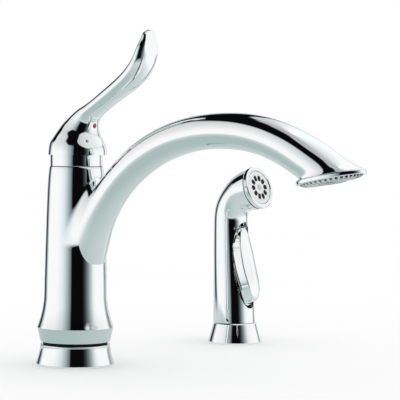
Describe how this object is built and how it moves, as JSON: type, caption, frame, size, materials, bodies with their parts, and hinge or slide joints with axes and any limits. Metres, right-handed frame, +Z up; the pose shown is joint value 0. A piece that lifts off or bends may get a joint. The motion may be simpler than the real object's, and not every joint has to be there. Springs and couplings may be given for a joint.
{
  "type": "side spray kitchen faucet",
  "caption": "Single-handle chrome kitchen faucet with an arched swivel spout, a swept-up lever and a side spray that lifts out of its own deck holder.",
  "frame": {"origin": "on the axis of the faucet's body, at the top of the deck that it stands on", "axes": "+Z up along the body's axis, -Y the way the spout points, +X towards the side spray"},
  "size_m": [0.2552, 0.2906, 0.3292],
  "materials": {
    "chrome": "polished chrome over brass",
    "brass": "machined, unplated",
    "copper": "drawn copper tube, slightly dull",
    "steel": "plain stainless",
    "black_plastic": "moulded, satin black",
    "white_plastic": "moulded, satin white",
    "grey_plastic": "moulded, satin grey",
    "rubber": "soft black rubber",
    "red_plastic": "glossy red"
  },
  "bodies": {
    "base_and_column": {"base_flange": "chrome", "base_gasket": "rubber", "swivel_ring": "black_plastic", "valve_column": "brass", "threaded_shank": "brass", "deck_washer": "steel", "deck_nut": "brass", "supply_tube_hot": "copper", "supply_tube_cold": "copper", "spray_hose_nipple": "brass", "lower_bushing": "white_plastic", "lower_seal": "rubber", "upper_seal": "rubber", "upper_bushing": "white_plastic", "cartridge_seal": "rubber", "cartridge_housing": "white_plastic", "bonnet_nut": "brass", "dome_cap": "chrome", "spray_holder": "chrome", "holder_gasket": "rubber", "holder_shank": "black_plastic", "holder_washer": "steel", "holder_nut": "black_plastic"},
    "diverter": {"diverter": "white_plastic"},
    "spout": {"spout": "chrome", "outlet_plate": "grey_plastic", "aerator_housing": "chrome", "aerator_screen": "steel", "flow_regulator": "white_plastic"},
    "handle_turn": {"cartridge_rotor": "white_plastic", "stem_pin": "steel"},
    "handle": {"lever_stem": "brass", "handle": "chrome", "handle_set_screw": "steel", "temperature_button": "red_plastic"},
    "side_spray": {"spray_wand": "chrome", "spray_bezel": "chrome", "spray_face": "white_plastic", "spray_face_cap": "grey_plastic", "hose_connector": "brass", "valve_sleeve": "white_plastic", "trigger_pin": "steel"},
    "trigger": {"trigger": "chrome"},
    "plunger": {"valve_plunger": "brass"}
  },
  "joints": [
    {"name": "spout_swivel", "type": "hinge", "parent": "base_and_column", "child": "spout", "pos_m": [0, 0, 0.06], "axis": [0, 0, 1], "range_deg": [-60, 60]},
    {"name": "handle_turn", "type": "hinge", "parent": "base_and_column", "child": "handle_turn", "pos_m": [0, 0, 0.156], "axis": [0, 0, 1], "range_deg": [-45, 45]},
    {"name": "handle_lift", "type": "hinge", "parent": "handle_turn", "child": "handle", "pos_m": [0, 0, 0.156], "axis": [-1, 0, 0], "range_deg": [0, 20]},
    {"name": "spray_lift", "type": "slide", "parent": "base_and_column", "child": "side_spray", "axis": [0, 0, 1], "range_m": [0, 0.12]},
    {"name": "trigger_press", "type": "hinge", "parent": "side_spray", "child": "trigger", "pos_m": [0.2032, -0.0044, 0.0966], "axis": [1, 0, 0], "range_deg": [0, 6], "stiffness_Nm_per_rad": 0.25},
    {"name": "plunger_slide", "type": "slide", "parent": "side_spray", "child": "plunger", "axis": [0, 1, 0], "range_m": [0, 0.0052]},
    {"name": "diverter_slide", "type": "slide", "parent": "base_and_column", "child": "diverter", "axis": [0, 1, 0], "range_m": [0, 0.002]}
  ],
  "couplings": [
    {"joint": "plunger_slide", "follows": "trigger_press", "m_per_rad": 0.0486},
    {"joint": "diverter_slide", "follows": "trigger_press", "m_per_rad": 0.018}
  ]
}
